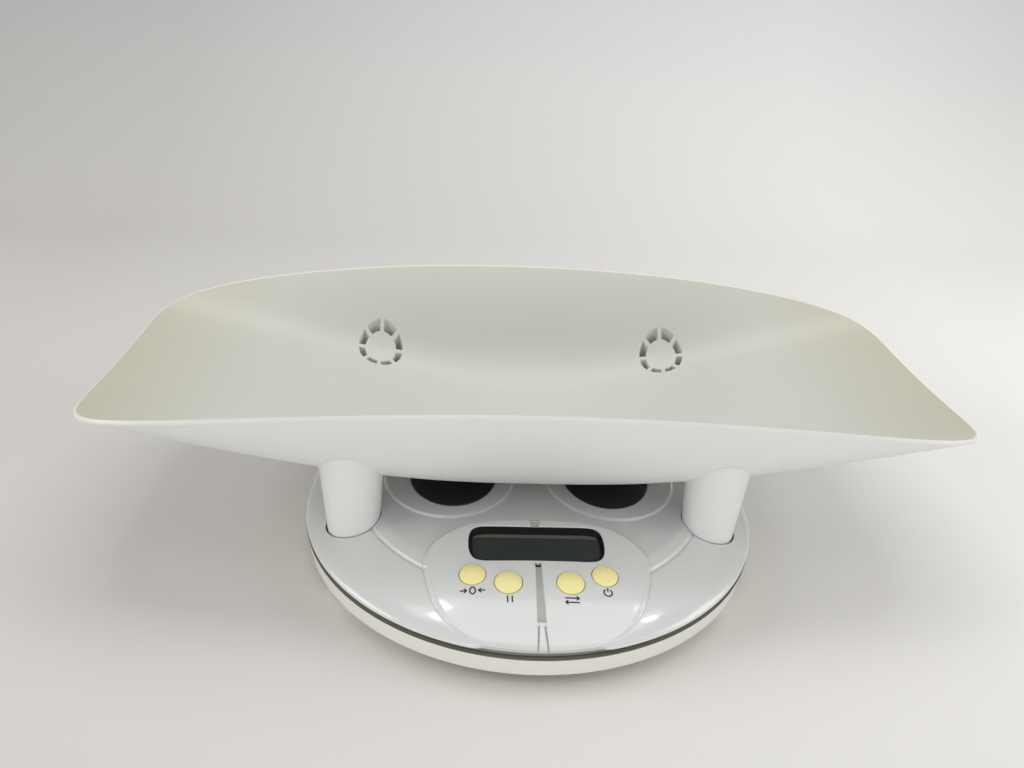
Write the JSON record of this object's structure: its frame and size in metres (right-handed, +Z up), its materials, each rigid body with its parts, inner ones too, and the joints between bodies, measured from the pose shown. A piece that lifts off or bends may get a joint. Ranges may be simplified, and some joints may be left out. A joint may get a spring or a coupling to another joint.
{
  "type": "digital baby weighing scale",
  "caption": "Digital baby scale: a moulded cradle tray on hollow legs stands on a domed weighing platform with a display and push buttons.",
  "frame": {"origin": "on the floor, under the middle of the overall box", "axes": "+Z up, +X to the right along the tray, the user stands at -Y"},
  "size_m": [0.5598, 0.3259, 0.1309],
  "materials": {
    "tray_white": "moulded, satin",
    "cover_white": "moulded, glossy",
    "base_white": "moulded, matt",
    "grip_dark": "moulded, matt",
    "frame_black": "moulded, glossy",
    "pane_dark": "clear acrylic, polished",
    "lcd_glass": "polished",
    "elastomer_grey": "cut strip",
    "button_yellow": "moulded, soft sheen",
    "board_green": "solder mask",
    "chip_black": "moulded epoxy",
    "screw_steel": "zinc plated",
    "zinc_steel": "zinc plated sheet",
    "bare_aluminium": "machined",
    "battery_case": "plain printed wrap",
    "wire_insulation": "extruded",
    "foot_rubber": "moulded, matt"
  },
  "bodies": {
    "base": {"base_housing": "base_white", "cell_lower_screws": "screw_steel", "mounting_plate_screws": "screw_steel", "overload_stops": "screw_steel", "mounting_plate": "zinc_steel", "cell_lower_spacer": "bare_aluminium", "load_cell": "bare_aluminium", "battery": "battery_case", "battery_snap": "chip_black", "battery_leads": "wire_insulation", "cell_leads": "wire_insulation", "rubber_foot_front_left": "foot_rubber", "rubber_foot_front_right": "foot_rubber", "rubber_foot_rear_left": "foot_rubber", "rubber_foot_rear_right": "foot_rubber"},
    "platform": {"platform_cover": "cover_white", "foot_pad_left": "grip_dark", "foot_pad_right": "grip_dark", "display_frame": "frame_black", "display_window": "pane_dark", "display_glass": "lcd_glass", "display_connector": "elastomer_grey", "main_board": "board_green", "controller_chip": "chip_black", "board_parts": "chip_black", "switch_bodies": "chip_black", "board_screws": "screw_steel", "load_plate": "zinc_steel", "load_plate_screws": "screw_steel", "cell_upper_spacer": "bare_aluminium", "cell_upper_screws": "screw_steel"},
    "tray": {"tray": "tray_white"},
    "battery_door": {"battery_door": "base_white"},
    "button_zero": {"button_zero": "button_yellow"},
    "button_hold": {"button_hold": "button_yellow"},
    "button_unit": {"button_unit": "button_yellow"},
    "button_power": {"button_power": "button_yellow"}
  },
  "joints": [
    {"name": "platform_press", "type": "slide", "parent": "base", "child": "platform", "axis": [0, 0, 1], "range_m": [-0.0008, 0], "stiffness_N_per_m": 40000, "springref_m": 0.0006, "deforming": ["load_cell"]},
    {"name": "tray_lift", "type": "slide", "parent": "platform", "child": "tray", "axis": [0, 0, 1], "range_m": [0, 0.12]},
    {"name": "battery_door_hinge", "type": "hinge", "parent": "base", "child": "battery_door", "pos_m": [0, 0.102, 0.00725], "axis": [-1, 0, 0], "range_deg": [0, 95]},
    {"name": "zero_press", "type": "slide", "parent": "platform", "child": "button_zero", "axis": [0.0662, 0.1736, -0.9826], "range_m": [0, 0.0007], "stiffness_N_per_m": 1200, "springref_m": -0.0004},
    {"name": "hold_press", "type": "slide", "parent": "platform", "child": "button_hold", "axis": [0.0313, 0.187, -0.9819], "range_m": [0, 0.0007], "stiffness_N_per_m": 1200, "springref_m": -0.0004},
    {"name": "unit_press", "type": "slide", "parent": "platform", "child": "button_unit", "axis": [-0.0313, 0.187, -0.9819], "range_m": [0, 0.0007], "stiffness_N_per_m": 1200, "springref_m": -0.0004},
    {"name": "power_press", "type": "slide", "parent": "platform", "child": "button_power", "axis": [-0.0662, 0.1736, -0.9826], "range_m": [0, 0.0007], "stiffness_N_per_m": 1200, "springref_m": -0.0004}
  ]
}
